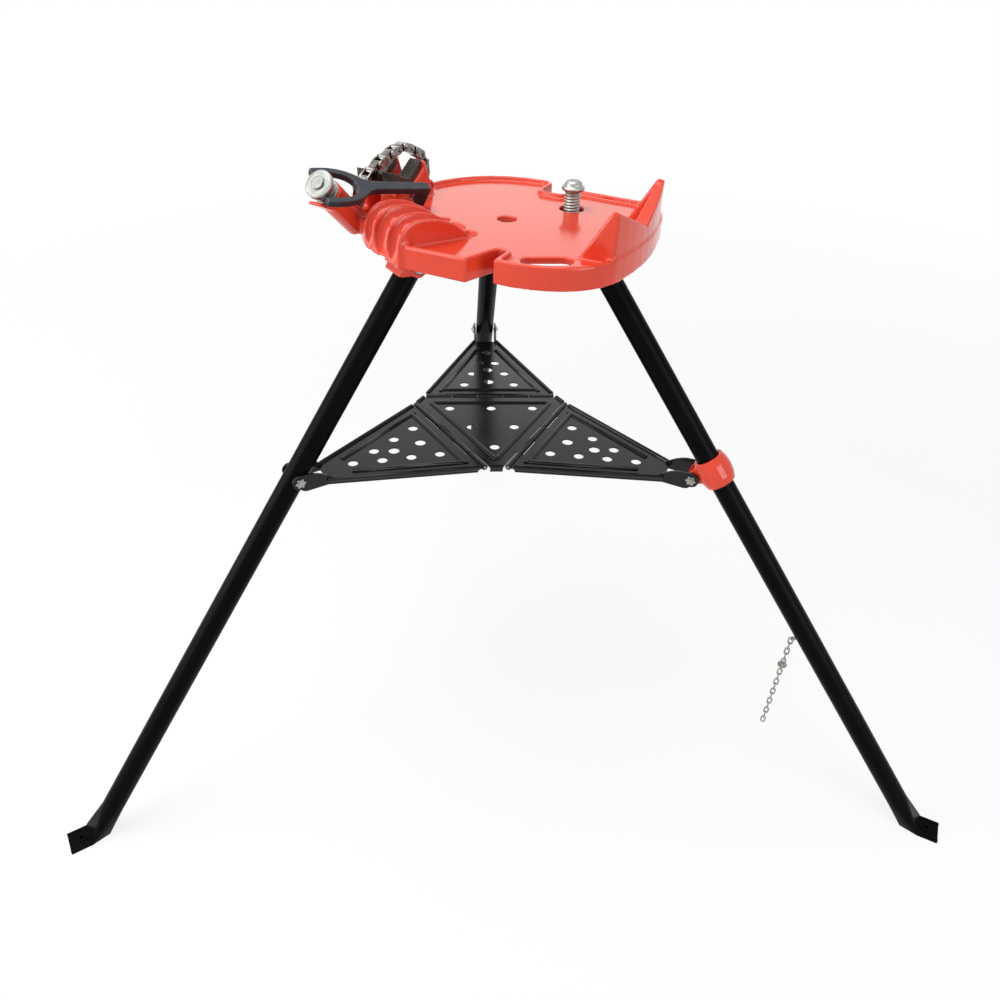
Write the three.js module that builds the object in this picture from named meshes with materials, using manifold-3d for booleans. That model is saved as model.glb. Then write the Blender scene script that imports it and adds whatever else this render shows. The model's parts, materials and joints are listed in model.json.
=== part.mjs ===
// Tripod pipe vise stand: a cast table with a chain vise, three folding tube legs and a folding tray.
// Millimetres, +Z up. +X runs along the clamped pipe, from the vise to the pipe rest.
import * as THREE from 'three';
import { ConvexGeometry } from 'three/addons/geometries/ConvexGeometry.js';
import { mergeVertices } from 'three/addons/utils/BufferGeometryUtils.js';
import Module from 'manifold-3d';

const wasm = await Module();
wasm.setup();

// Clearances
const GAP = 0.3;
const PLAY = 0.5;

// Table casting
const TABLE_Z = 845;
const PLATE_T = 9;
const RIM_RISE = 6;
const RIM_W = 7;
const SKIRT_DROP = 24;
const RIM_TOP = TABLE_Z + RIM_RISE;
const SKIRT_Z = TABLE_Z - SKIRT_DROP;
const PLATE_Z = TABLE_Z - PLATE_T;
const TABLE_HOLE_R = 13;
const TABLE_HOLE_X = 11;
const TABLE_HOLE_Y = 6;
const SLOT_R = 13;
const SLOT_LEN = 38;
const SLOT_TURN = THREE.MathUtils.degToRad(32);

// Pipe rest at the far end of the table
const REST_HALF = 86;
const REST_TIP_Z = TABLE_Z + 61;
const REST_VEE_Z = TABLE_Z + 25;
const REST_WALL_X = 189;
const GUSSET_X = 152;
const GUSSET_T = 9;

// Pipe benders: a crested block with three grooves, at the table's front left edge
const BENDER_X = -28;
const BENDER_Y = -149;
const BENDER_TURN = THREE.MathUtils.degToRad(60);
const BENDER_RISE = 33;
const BENDER_NOSE_R = 33;
const BENDER_BACK_R = 93;
const BENDER_WALL = 24;
const GROOVE_R = [13.5, 17, 11];
const GROOVE_LAND = 3;

// Chain vise: the chain runs in the plane VISE_X, square to the pipe
const VISE_X = -165;
const VEE_Y = -6;
const VEE_Z = TABLE_Z + 34;
const VEE_FRONT = THREE.MathUtils.degToRad(21.5);
const VEE_BACK = THREE.MathUtils.degToRad(29);
const JAW_FRONT = 42;
const JAW_BACK = 27;
const JAW_T = 10.5;
const JAW_W = 19;
const CHAIN_WAY = 21;
const CHEEK_W = 23.5;
const TOOTH = 3.8;
const TOOTH_RISE = 1.4;
const TENON_HALF = 11;
const TENON_DROP = 18;
const TENON_PIN_R = 4;

// Vise chain
const PITCH = 16;
const LINK_R = 5.6;
const LINK_PIN_R = 3;
const INNER_HALF = 4.8;
const PLATE_GAP = 0.5;
const LINK_PLATE_T = 2.2;
const LINK_PIN_HALF = 9.2;
const CHAIN_START = new THREE.Vector2(72, TABLE_Z + 5);
const LINK_HEADINGS = [58, 92, 128, 152, 157, 162, 184, 189, 193, 197, 201, 205, 210, 244];

// Tension screw, nut and handle; distances along the screw are counted from the nut's outer face
const SCREW_RISE = THREE.MathUtils.degToRad(42);
const NUT_FACE = new THREE.Vector2(-165, TABLE_Z + 58.5);
const SCREW_R = 7.5;
const NUT_R = 18.5;
const NUT_DISC_T = 6;
const NUT_GROOVE_R = 11;
const NUT_GROOVE_W = 7;
const NUT_BODY_R = 15;
const NUT_BODY_T = 5;
const WASHER_R = 16.5;
const WASHER_T = 2.5;
const BARREL_R = 18;
const BARREL_LEN = 100;
const HOOK_WAY = 50;
const HOOK_BEHIND = 6;
const HOOK_AHEAD = 10;
const HANDLE_END = new THREE.Vector3(-100, -13, TABLE_Z + 28);
const HANDLE_T = 9;
const HANDLE_DROP = 25;
const FORK_HALF = 25.5;
const FORK_LEN = 48;
const STEM_HALF = 6.5;
const FORK_PIN_R = 3;

// Ceiling brace screw
const BRACE_X = 67;
const BRACE_Y = 97;
const BRACE_R = 11.5;
const BRACE_HOLE_R = 17;
const BRACE_RISE = 25;
const BRACE_PITCH = 4;
const BRACE_CAP_R = 16;
const BRACE_LEN = 64;
const BRACE_NECK_R = 6;

// Legs
const TUBE_R = 16;
const TUBE_WALL = 2.2;
const PIVOT_Z = TABLE_Z - 39;
const LEG_SLOPE = 0.728;
const REAR_SLOPE = 0.778;
const REAR_SHIFT = 37.6;
const PIVOT_PIN_R = 5;
const PIVOT_HEAD_R = 8;
const CHEEK_T = 4.5;
const CHEEK_R = 13;
const LEG_STUB = 14;
const FOOT_LEN = 53;
const FOOT_HALF = 19;
const FOOT_T = 4;
const FOOT_PRESS = 44;
const FOOT_FLAT = 24;
const FOOT_LIP = 6;
const FOOT_BOSS_R = 8;
const FOOT_HOLE_R = 3.4;
const FOOT_HOLE = 18;
const YOKE_GAP = 1;

// Folding tray
const TRAY_Z = 531;
const SHEET_T = 2;
const HINGE_R = 80;
const CORNER_R = 132;
const KNUCKLE_R = 4.5;
const WIRE_R = 2.2;
const FLANGE_DROP = 8;
const ROLL_R = 3.6;
const TRAY_PIN_R = 326;
const TRAY_PIN_RISE = 8;
const WEB_END = 286;
const EAR_IN = TUBE_R + 1.6;
const EAR_T = 3;
const EAR_R = 11;
const STUD_R = 4;
const HOLE_R = 7.6;

// Sliding collar on the rear leg
const COLLAR_UP = 17;
const COLLAR_DOWN = 25;
const COLLAR_R = 25;
const COLLAR_EDGE_R = 21;
const LUG_HALF = 15.5;

// Tie chain on the rear leg
const TIE_Z = 313;
const TIE_LINK = 13.4;
const TIE_RING_R = 3.1;
const TIE_WIRE_R = 1.1;
const TIE_LINKS = 17;
const TIE_TAG_R = 7;
const TIE_TAG_AT = 4.6;
const STAPLE_R = 3.6;
const STAPLE_WIRE_R = 1.25;
const STAPLE_REACH = STAPLE_R + STAPLE_WIRE_R + GAP;

const SIDES = 20;
const AZIMUTH = { rear: 0, back: 120, front: 240 };

// A colour and finish for each kind of surface
const finish = (color, roughness, metalness) =>
  new THREE.MeshStandardMaterial({ color, roughness, metalness });
const enamel = () => finish(0xd8402e, 0.28, 0.05);
const blackPaint = () => finish(0x16171a, 0.35, 0.2);
const forged = () => finish(0x23262c, 0.45, 0.6);
const jawSteel = () => finish(0x2e2b27, 0.55, 0.8);
const chainSteel = () => finish(0x8f8a83, 0.35, 0.9);
const zinc = () => finish(0xc9ccc8, 0.3, 0.95);

// Solids: a closed geometry as a manifold body, and boolean helpers
function solid(geometry) {
  const bare = geometry.index ? geometry.toNonIndexed() : geometry.clone();
  bare.deleteAttribute('normal');
  bare.deleteAttribute('uv');
  const merged = mergeVertices(bare, 1e-4);
  const tri = [];
  const index = merged.index.array;
  for (let i = 0; i < index.length; i += 3) {
    const [a, b, c] = [index[i], index[i + 1], index[i + 2]];
    if (a !== b && b !== c && c !== a) tri.push(a, b, c);
  }
  const mesh = new wasm.Mesh({
    numProp: 3,
    vertProperties: merged.attributes.position.array,
    triVerts: new Uint32Array(tri),
  });
  return new wasm.Manifold(mesh);
}
const join = (first, ...rest) => rest.reduce((body, next) => body.add(next), first);
const cut = (first, ...rest) => rest.reduce((body, next) => body.subtract(next), first);

// A matrix whose x and y run along the given directions, with its origin at a point
function frame(origin, xDir, yDir) {
  const x = xDir.clone().normalize();
  const z = new THREE.Vector3().crossVectors(x, yDir).normalize();
  const y = new THREE.Vector3().crossVectors(z, x);
  return new THREE.Matrix4().makeBasis(x, y, z).setPosition(origin);
}
const vec = (x, y, z) => new THREE.Vector3(x, y, z);
const X = vec(1, 0, 0);
const Y = vec(0, 1, 0);
const Z = vec(0, 0, 1);

// Basic shapes
function box(x0, x1, y0, y1, z0, z1) {
  const geometry = new THREE.BoxGeometry(x1 - x0, y1 - y0, z1 - z0);
  return solid(geometry.translate((x0 + x1) / 2, (y0 + y1) / 2, (z0 + z1) / 2));
}
function prism(shape, depth, matrix = new THREE.Matrix4(), steps = 8) {
  const options = { depth, bevelEnabled: false, curveSegments: steps };
  return solid(new THREE.ExtrudeGeometry(shape, options).applyMatrix4(matrix));
}
const polygon = (points) => new THREE.Shape(points.map(([x, y]) => new THREE.Vector2(x, y)));
const upright = (z) => new THREE.Matrix4().makeTranslation(0, 0, z);
// An outline in y and z, swept along x from x0
const acrossX = (x0) => frame(vec(x0, 0, 0), Y, Z);
// An outline in x and z, swept along -y from y0
const acrossY = (y0) => frame(vec(0, y0, 0), X, Z);

function rod(from, to, radius, sides = SIDES) {
  const axis = to.clone().sub(from);
  const geometry = new THREE.CylinderGeometry(radius, radius, axis.length(), sides);
  geometry.applyQuaternion(new THREE.Quaternion().setFromUnitVectors(Y, axis.clone().normalize()));
  geometry.translate(...from.clone().addScaledVector(axis, 0.5).toArray());
  return solid(geometry);
}
// A turned piece: [radius, height] pairs round an axis from a point
function turned(profile, from, axis, sides = SIDES) {
  const geometry = new THREE.LatheGeometry(profile.map(([r, h]) => new THREE.Vector2(r, h)), sides);
  geometry.applyQuaternion(new THREE.Quaternion().setFromUnitVectors(Y, axis.clone().normalize()));
  return solid(geometry.translate(...from.toArray()));
}
function stadium(length, radius) {
  const shape = new THREE.Shape();
  shape.absarc(length, 0, radius, -Math.PI / 2, Math.PI / 2);
  shape.absarc(0, 0, radius, Math.PI / 2, (3 * Math.PI) / 2);
  return shape;
}
function star(points, tip, root) {
  const shape = [];
  for (let i = 0; i < 2 * points; i += 1) {
    const radius = i % 2 ? root : tip;
    shape.push([radius * Math.cos((i * Math.PI) / points), radius * Math.sin((i * Math.PI) / points)]);
  }
  return polygon(shape);
}
// A closed outline moved inwards by a distance
function inset(points, distance) {
  return points.map((p, i) => {
    const before = points[(i + points.length - 1) % points.length];
    const after = points[(i + 1) % points.length];
    const n1 = p.clone().sub(before).normalize().rotateAround(new THREE.Vector2(), Math.PI / 2);
    const n2 = after.clone().sub(p).normalize().rotateAround(new THREE.Vector2(), Math.PI / 2);
    const n = n1.add(n2).multiplyScalar(0.5);
    return p.clone().addScaledVector(n, distance / Math.max(n.lengthSq(), 0.3));
  });
}

// Nested groups and named meshes
const stand = new THREE.Group();
stand.name = 'stand';
function group(name, parent) {
  const made = new THREE.Group();
  made.name = name;
  parent.add(made);
  return made;
}
function piece(name, body, material, parent) {
  const m = body.getMesh();
  const geometry = new THREE.BufferGeometry();
  geometry.setAttribute('position', new THREE.BufferAttribute(new Float32Array(m.vertProperties), 3));
  geometry.setIndex(new THREE.BufferAttribute(new Uint32Array(m.triVerts), 1));
  geometry.computeVertexNormals();
  const mesh = new THREE.Mesh(geometry, material);
  mesh.name = name;
  parent.add(mesh);
  return mesh;
}

// Leg planes: each leg is built in its own radial plane, x outwards from the tripod axis
const legPlane = {};
for (const [name, turn] of Object.entries(AZIMUTH)) {
  legPlane[name] = group(`${name}_plane`, stand);
  legPlane[name].rotation.z = THREE.MathUtils.degToRad(turn);
}
const pinZ = TRAY_Z + TRAY_PIN_RISE;
function legLine(name) {
  const slope = name === 'rear' ? REAR_SLOPE : LEG_SLOPE;
  const pinR = TRAY_PIN_R + (name === 'rear' ? REAR_SHIFT : 0);
  const down = vec(slope, 0, -1).normalize();
  const pivot = vec(pinR - (PIVOT_Z - pinZ) * slope, 0, PIVOT_Z);
  return { pivot, down, at: (z) => pivot.clone().addScaledVector(down, (z - PIVOT_Z) / down.z) };
}

// Table casting
const screwAxis = vec(0, -Math.cos(SCREW_RISE), Math.sin(SCREW_RISE));
const screwUp = vec(0, Math.sin(SCREW_RISE), Math.cos(SCREW_RISE));
const nutFace = vec(VISE_X, NUT_FACE.x, NUT_FACE.y);
const intoScrew = screwAxis.clone().negate();
const alongScrew = (s) => nutFace.clone().addScaledVector(intoScrew, s);
// A frame with x along the screw and y up from it, set back from the chain plane
const screwSide = (back) => frame(alongScrew(0).setX(VISE_X - back), intoScrew, screwUp);
const benderIn = vec(Math.cos(BENDER_TURN), Math.sin(BENDER_TURN), 0);
const benderAxis = vec(-benderIn.y, benderIn.x, 0);
const benderLen = GROOVE_R.reduce((sum, r) => sum + 2 * r + GROOVE_LAND, GROOVE_LAND);
const crestZ = TABLE_Z + BENDER_RISE;
const benderStart = vec(BENDER_X, BENDER_Y, 0);
// A spot on the benders: inwards from the crest, up from the floor and back along the row
const benderSpot = (t, z, along) =>
  benderStart.clone().addScaledVector(benderIn, t).addScaledVector(benderAxis, along).setZ(z);

function tableOutline() {
  const benderEdge = (along) => {
    const p = benderSpot(1 - BENDER_NOSE_R, 0, along);
    return [p.x, p.y];
  };
  const shape = new THREE.Shape();
  shape.moveTo(200, -84);
  shape.quadraticCurveTo(218, 0, 200, 84);
  shape.quadraticCurveTo(190, 160, 146, 168);
  shape.lineTo(38, 172);
  shape.lineTo(38, 150);
  shape.quadraticCurveTo(38, 139, 27, 139);
  shape.lineTo(11, 139);
  shape.quadraticCurveTo(0, 139, 0, 150);
  shape.lineTo(0, 180);
  shape.quadraticCurveTo(-3, 193, -20, 194);
  shape.quadraticCurveTo(-130, 190, -160, 78);
  shape.lineTo(-204, 62);
  shape.lineTo(-204, -66);
  shape.lineTo(-162, -86);
  shape.quadraticCurveTo(-143, -118, ...benderEdge(0.9 * benderLen));
  shape.lineTo(...benderEdge(0.2 * benderLen));
  shape.lineTo(-44, -172);
  shape.lineTo(45, -172);
  shape.lineTo(58, -128);
  shape.quadraticCurveTo(60, -119, 66, -119);
  shape.quadraticCurveTo(74, -119, 74, -128);
  shape.lineTo(74, -157);
  shape.lineTo(100, -157);
  shape.quadraticCurveTo(180, -146, 200, -84);
  const points = shape.getPoints(7);
  return points.filter((p, i) => p.distanceTo(points.at(i - 1)) > 0.01);
}

function benderProfile() {
  const backZ = crestZ - BENDER_BACK_R;
  const shape = new THREE.Shape();
  shape.moveTo(-BENDER_NOSE_R, SKIRT_Z);
  shape.lineTo(-BENDER_NOSE_R, crestZ - BENDER_NOSE_R);
  shape.absarc(0, crestZ - BENDER_NOSE_R, BENDER_NOSE_R, Math.PI, Math.PI / 2, true);
  const last = Math.asin((PLATE_Z - backZ) / BENDER_BACK_R);
  shape.absarc(0, backZ, BENDER_BACK_R, Math.PI / 2, last, true);
  shape.lineTo(BENDER_WALL - BENDER_NOSE_R, PLATE_Z);
  shape.lineTo(BENDER_WALL - BENDER_NOSE_R, SKIRT_Z);
  return shape;
}
function benders() {
  const place = frame(benderStart, benderIn, Z);
  return prism(benderProfile(), benderLen, place.multiply(upright(-benderLen)), 7);
}
// A groove follows the crest, runs out at the outer wall and leaves through the plate inside
function benderGroove(r, along) {
  const noseZ = crestZ - BENDER_NOSE_R;
  const backZ = crestZ - BENDER_BACK_R;
  const spots = [benderSpot(-BENDER_NOSE_R - 0.9 * r, SKIRT_Z + 4, along)];
  for (let a = Math.PI; a > Math.PI / 2; a -= Math.PI / 10) {
    spots.push(benderSpot(BENDER_NOSE_R * Math.cos(a), noseZ + BENDER_NOSE_R * Math.sin(a), along));
  }
  for (let a = Math.PI / 2; a > Math.PI / 8; a -= Math.PI / 16) {
    spots.push(benderSpot(BENDER_BACK_R * Math.cos(a), backZ + BENDER_BACK_R * Math.sin(a), along));
  }
  const round = new THREE.Shape();
  round.absarc(0, 0, r, 0, 2 * Math.PI);
  const extrudePath = new THREE.CatmullRomCurve3(spots);
  return solid(new THREE.ExtrudeGeometry(round, { steps: 16, extrudePath, curveSegments: 8 }));
}
function benderGrooves() {
  const grooves = [];
  let along = GROOVE_LAND;
  for (const r of GROOVE_R) {
    grooves.push(benderGroove(r, along + r));
    along += 2 * r + GROOVE_LAND;
  }
  return grooves;
}

function pipeRest(outline) {
  const wall = polygon([
    [-REST_HALF, PLATE_Z],
    [REST_HALF, PLATE_Z],
    [REST_HALF, REST_TIP_Z],
    [0, REST_VEE_Z],
    [-REST_HALF, REST_TIP_Z],
  ]);
  const hull = prism(new THREE.Shape(inset(outline, 2)), REST_TIP_Z, upright(PLATE_Z));
  const slab = prism(wall, 60, acrossX(REST_WALL_X)).intersect(hull);
  const web = polygon([
    [GUSSET_X, PLATE_Z],
    [REST_WALL_X + 4, PLATE_Z],
    [REST_WALL_X + 4, REST_TIP_Z],
    [REST_WALL_X, REST_TIP_Z],
    [GUSSET_X, TABLE_Z],
  ]);
  const gussets = [REST_HALF, GUSSET_T - REST_HALF].map((y) => prism(web, GUSSET_T, acrossY(y)));
  return join(slab, ...gussets);
}

function veeRise(y) {
  const slope = y < VEE_Y ? VEE_FRONT : VEE_BACK;
  return VEE_Z + Math.abs(y - VEE_Y) * Math.tan(slope);
}
const jawDrop = JAW_T / Math.cos(VEE_BACK);
const cheekIn = CHAIN_WAY / 2;

function viseSaddle() {
  const seat = (y) => veeRise(y) - jawDrop - GAP;
  const side = polygon([
    [-JAW_FRONT - 6, SKIRT_Z],
    [60, SKIRT_Z],
    [52, RIM_TOP],
    [JAW_BACK + 5, seat(JAW_BACK) + JAW_T],
    [JAW_BACK + PLAY, seat(JAW_BACK) + JAW_T],
    [JAW_BACK + PLAY, seat(JAW_BACK + PLAY)],
    [VEE_Y, seat(VEE_Y)],
    [4 - JAW_FRONT, seat(4 - JAW_FRONT)],
    [-JAW_FRONT - 6, seat(-JAW_FRONT) - 14],
  ]);
  return prism(side, 2 * cheekIn + 2 * CHEEK_W, acrossX(VISE_X - cheekIn - CHEEK_W));
}
function chainWay() {
  const floor = CHAIN_START.y - LINK_R - 2;
  const [front, back] = [-JAW_FRONT - 30, CHAIN_START.x + 40];
  return box(VISE_X - cheekIn, VISE_X + cheekIn, front, back, floor, RIM_TOP + 100);
}
function anchorLugs() {
  const eye = new THREE.Shape();
  eye.absarc(CHAIN_START.x, CHAIN_START.y, 9, 0, Math.PI);
  eye.lineTo(CHAIN_START.x - 9, SKIRT_Z);
  eye.lineTo(CHAIN_START.x + 9, SKIRT_Z);
  return [-cheekIn - 8, cheekIn].map((x) => prism(eye, 8, acrossX(VISE_X + x)));
}
function screwBoss() {
  const start = NUT_DISC_T + NUT_GROOVE_W + NUT_BODY_T + WASHER_T + 2 * GAP;
  const barrel = rod(alongScrew(start), alongScrew(BARREL_LEN), BARREL_R);
  const lip = polygon([
    [6, -NUT_R - 2],
    [6, -NUT_R - 7],
    [start + 14, -BARREL_R + 1],
    [start, -BARREL_R + 6],
    [start, -NUT_R - 2],
  ]);
  return barrel.add(prism(lip, BARREL_R, screwSide(BARREL_R / 2)));
}
function hookWay() {
  const side = polygon([
    [HOOK_WAY, -SCREW_R - 3],
    [BARREL_LEN + 35, -SCREW_R - 3],
    [BARREL_LEN + 35, 80],
    [HOOK_WAY, 80],
  ]);
  return prism(side, 2 * SCREW_R + 3, screwSide(SCREW_R + 1.5));
}

// A yoke under the table: two cheeks for the pivot pin and a wall against the outside of the leg
function legYoke(name) {
  const line = legLine(name);
  const { x } = line.pivot;
  const cheek = new THREE.Shape();
  cheek.absarc(x, PIVOT_Z, CHEEK_R, Math.PI, 1.75 * Math.PI);
  const out = vec(-line.down.z, 0, line.down.x);
  const wall = (away, z) => {
    const p = line.at(z).addScaledVector(out, away);
    return [p.x, p.z];
  };
  const near = TUBE_R + YOKE_GAP;
  const far = near + CHEEK_T;
  const low = PIVOT_Z - 18;
  const high = PLATE_Z + 20;
  cheek.lineTo(...wall(near + 1, low));
  cheek.lineTo(...wall(far, low));
  cheek.lineTo(...wall(far, PLATE_Z));
  cheek.lineTo(x - CHEEK_R, PLATE_Z + 2);
  const inner = TUBE_R + PLAY;
  const turn = new THREE.Matrix4().makeRotationZ(legPlane[name].rotation.z);
  const place = (shape, y, width) => prism(shape, width, turn.clone().multiply(acrossY(y)));
  const front = polygon([wall(near, low), wall(far, low), wall(far, high), wall(near, high)]);
  const under = box(-400, 400, -400, 400, 0, PLATE_Z + 2);
  const cheeks = [inner + CHEEK_T, -inner].map((y) => place(cheek, y, CHEEK_T));
  const body = join(...cheeks, place(front, inner + 1, 2 * inner + 2)).intersect(under);
  const bore = rod(vec(x, -60, PIVOT_Z), vec(x, 60, PIVOT_Z), PIVOT_PIN_R + GAP, 16);
  const wellR = Math.hypot(LEG_STUB, TUBE_R) + 2;
  const well = rod(vec(x, -inner, PIVOT_Z), vec(x, inner, PIVOT_Z), wellR);
  return { body, voids: join(bore, well).transform(turn.elements) };
}

function tableCasting() {
  const outline = tableOutline();
  const full = prism(new THREE.Shape(outline), RIM_TOP - SKIRT_Z, upright(SKIRT_Z));
  const above = prism(new THREE.Shape(inset(outline, RIM_W)), 40, upright(TABLE_Z));
  const hollow = new THREE.Shape(inset(outline, RIM_W + 1));
  const below = prism(hollow, PLATE_Z - SKIRT_Z + 20, upright(SKIRT_Z - 20));
  let body = cut(full, above, below);
  body = join(body, benders(), pipeRest(outline), viseSaddle(), screwBoss(), ...anchorLugs());
  body = body.add(rod(
    vec(BRACE_X, BRACE_Y, PLATE_Z - 28),
    vec(BRACE_X, BRACE_Y, PLATE_Z + 2),
    BRACE_HOLE_R + 3,
  ));
  const yokes = Object.keys(AZIMUTH).map(legYoke);
  body = join(body, ...yokes.map((yoke) => yoke.body));
  const slot = new THREE.Matrix4().makeTranslation(108, -124, PLATE_Z - 5);
  slot.multiply(new THREE.Matrix4().makeRotationZ(SLOT_TURN));
  const chainPin = [VISE_X - 40, VISE_X + 40].map((x) => vec(x, CHAIN_START.x, CHAIN_START.y));
  const hole = (z) => vec(TABLE_HOLE_X, TABLE_HOLE_Y, z);
  const brace = (z) => vec(BRACE_X, BRACE_Y, z);
  return cut(
    body,
    ...yokes.map((yoke) => yoke.voids),
    ...benderGrooves(),
    rod(hole(PLATE_Z - 5), hole(RIM_TOP), TABLE_HOLE_R),
    rod(brace(PLATE_Z), brace(RIM_TOP), BRACE_HOLE_R),
    rod(brace(SKIRT_Z - 60), brace(RIM_TOP), BRACE_R + GAP),
    prism(stadium(SLOT_LEN, SLOT_R), 20, slot),
    rod(alongScrew(-5), alongScrew(BARREL_LEN + 35), SCREW_R + GAP),
    hookWay(),
    chainWay(),
    rod(...chainPin, LINK_PIN_R + 1 + GAP, 12),
    ...[-1, 1].map(tenonPocket),
    ...[-1, 1].map((side) => tenonPin(side, GAP)),
  );
}

// Jaws: two toothed vees, one on each side of the chain
const jawX = (side) => VISE_X + side * (cheekIn + PLAY + JAW_W / 2);
function tenonPocket(side) {
  const half = JAW_W / 2 - 4 + GAP;
  const x = jawX(side);
  const low = VEE_Z - jawDrop - TENON_DROP - 1;
  const reach = TENON_HALF + GAP;
  return box(x - half, x + half, VEE_Y - reach, VEE_Y + reach, low, VEE_Z);
}
function tenonPin(side, extra = 0) {
  const z = VEE_Z - jawDrop - TENON_DROP / 2;
  const spot = (away) => vec(VISE_X + side * away, VEE_Y, z);
  return rod(spot(cheekIn - extra), spot(cheekIn + CHEEK_W + extra), TENON_PIN_R + extra, 12);
}
function jaw(side) {
  const top = [];
  for (let y = -JAW_FRONT; y < JAW_BACK - TOOTH / 2; y += TOOTH) {
    top.push([y, veeRise(y)], [y + TOOTH * 0.75, veeRise(y + TOOTH * 0.75) - TOOTH_RISE]);
  }
  top.push([JAW_BACK, veeRise(JAW_BACK)]);
  const shape = polygon([
    ...top,
    [JAW_BACK, veeRise(JAW_BACK) - jawDrop],
    [VEE_Y, VEE_Z - jawDrop],
    [-JAW_FRONT, veeRise(-JAW_FRONT) - jawDrop],
  ]);
  const x = jawX(side);
  const half = JAW_W / 2 - 4;
  const low = VEE_Z - jawDrop - TENON_DROP;
  const [front, back] = [VEE_Y - TENON_HALF, VEE_Y + TENON_HALF];
  const tenon = box(x - half, x + half, front, back, low, VEE_Z - 4);
  return cut(prism(shape, JAW_W, acrossX(x - JAW_W / 2)).add(tenon), tenonPin(side, GAP));
}

// Vise chain: links with two plates on pins, joined by solid links
function chainJoints() {
  const points = [CHAIN_START.clone()];
  for (const heading of LINK_HEADINGS) {
    const a = THREE.MathUtils.degToRad(heading);
    const step = new THREE.Vector2(Math.cos(a), Math.sin(a)).multiplyScalar(PITCH);
    points.push(points.at(-1).clone().add(step));
  }
  return points;
}
function chainLink(isPlate) {
  const ends = [0, PITCH];
  const through = (x, r) => ends.map((y) => rod(vec(-x, y, 0), vec(x, y, 0), r, 8));
  const slab = (x, depth) => prism(stadium(PITCH, LINK_R), depth, acrossX(x), 4);
  if (!isPlate) return cut(slab(-INNER_HALF, 2 * INNER_HALF), ...through(20, LINK_PIN_R + GAP));
  const inside = INNER_HALF + PLATE_GAP;
  const plates = [inside, -inside - LINK_PLATE_T].map((x) => slab(x, LINK_PLATE_T));
  return join(...plates, ...through(LINK_PIN_HALF, LINK_PIN_R));
}

// Tension screw with its hook, the nut and washer
function hookScrew() {
  const bite = chainJoints().at(-1).sub(NUT_FACE);
  const along = bite.x * Math.cos(SCREW_RISE) - bite.y * Math.sin(SCREW_RISE);
  const height = bite.x * Math.sin(SCREW_RISE) + bite.y * Math.cos(SCREW_RISE);
  const reach = LINK_PIN_R + PLAY;
  const end = along + HOOK_AHEAD;
  const shaft = rod(alongScrew(-2), alongScrew(end - 2), SCREW_R);
  const side = polygon([
    [along - HOOK_BEHIND, -SCREW_R],
    [end, -SCREW_R],
    [end, height + 5],
    [end - 3, height + 7],
    [along + reach, height + 4],
    [along + reach, height - reach],
    [along - HOOK_BEHIND, height - reach],
  ]);
  const hookHalf = INNER_HALF - 0.4;
  return shaft.add(prism(side, 2 * hookHalf, screwSide(hookHalf)));
}
function tensionNut() {
  const end = NUT_DISC_T + NUT_GROOVE_W + NUT_BODY_T;
  const profile = [
    [SCREW_R + GAP, 0],
    [NUT_R - 1.5, 0],
    [NUT_R, 1.5],
    [NUT_R, NUT_DISC_T],
    [NUT_GROOVE_R, NUT_DISC_T],
    [NUT_GROOVE_R, NUT_DISC_T + NUT_GROOVE_W],
    [NUT_BODY_R, NUT_DISC_T + NUT_GROOVE_W],
    [NUT_BODY_R, end],
    [SCREW_R + GAP, end],
    [SCREW_R + GAP, 0],
  ];
  return turned(profile, alongScrew(0), intoScrew);
}
function thrustWasher() {
  const start = NUT_DISC_T + NUT_GROOVE_W + NUT_BODY_T + GAP;
  const disc = rod(alongScrew(start), alongScrew(start + WASHER_T), WASHER_R);
  return cut(disc, rod(alongScrew(start - 1), alongScrew(start + WASHER_T + 1), SCREW_R + GAP));
}

// Forked handle: u runs along the stem and v across the fork
const handlePivot = alongScrew(NUT_DISC_T + NUT_GROOVE_W / 2);
function forkedHandle() {
  const stem = HANDLE_END.clone().sub(handlePivot);
  const length = stem.length();
  const across = new THREE.Vector3().crossVectors(stem, screwAxis).normalize();
  const place = frame(handlePivot, stem, across);
  const half = FORK_HALF;
  const outer = new THREE.Shape();
  outer.moveTo(-5, half + 4);
  outer.lineTo(10, half + 5);
  outer.quadraticCurveTo(40, half + 6, 58, 15);
  outer.quadraticCurveTo(66, STEM_HALF + 1, 82, STEM_HALF + 1);
  outer.lineTo(length, STEM_HALF);
  outer.lineTo(length, -STEM_HALF);
  outer.lineTo(82, -STEM_HALF - 1);
  outer.quadraticCurveTo(66, -STEM_HALF - 1, 58, -15);
  outer.quadraticCurveTo(40, -half - 6, 10, -half - 5);
  outer.lineTo(-5, -half - 4);
  outer.lineTo(-5, -half + 4);
  outer.lineTo(8, -half + 3);
  outer.quadraticCurveTo(FORK_LEN, -half + 2, FORK_LEN, 0);
  outer.quadraticCurveTo(FORK_LEN, half - 2, 8, half - 3);
  outer.lineTo(-5, half - 4);
  const sunk = place.clone().multiply(new THREE.Matrix4().makeTranslation(0, 0, -HANDLE_T / 2));
  const fork = prism(outer, HANDLE_T, sunk, 7);
  const spot = (u, v, w) => vec(u, v, w).applyMatrix4(place);
  const bite = NUT_GROOVE_R + PLAY;
  const tips = [-1, 1].map((s) => rod(spot(0, s * half, 0), spot(0, s * bite, 0), FORK_PIN_R, 12));
  const heel = polygon([
    [length - 13, -HANDLE_T / 2],
    [length, -HANDLE_T / 2],
    [length, HANDLE_DROP],
    [length - 13, HANDLE_DROP],
  ]);
  const heelFrame = place.clone().multiply(acrossY(STEM_HALF));
  return join(fork, ...tips, prism(heel, 2 * STEM_HALF, heelFrame));
}

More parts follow.
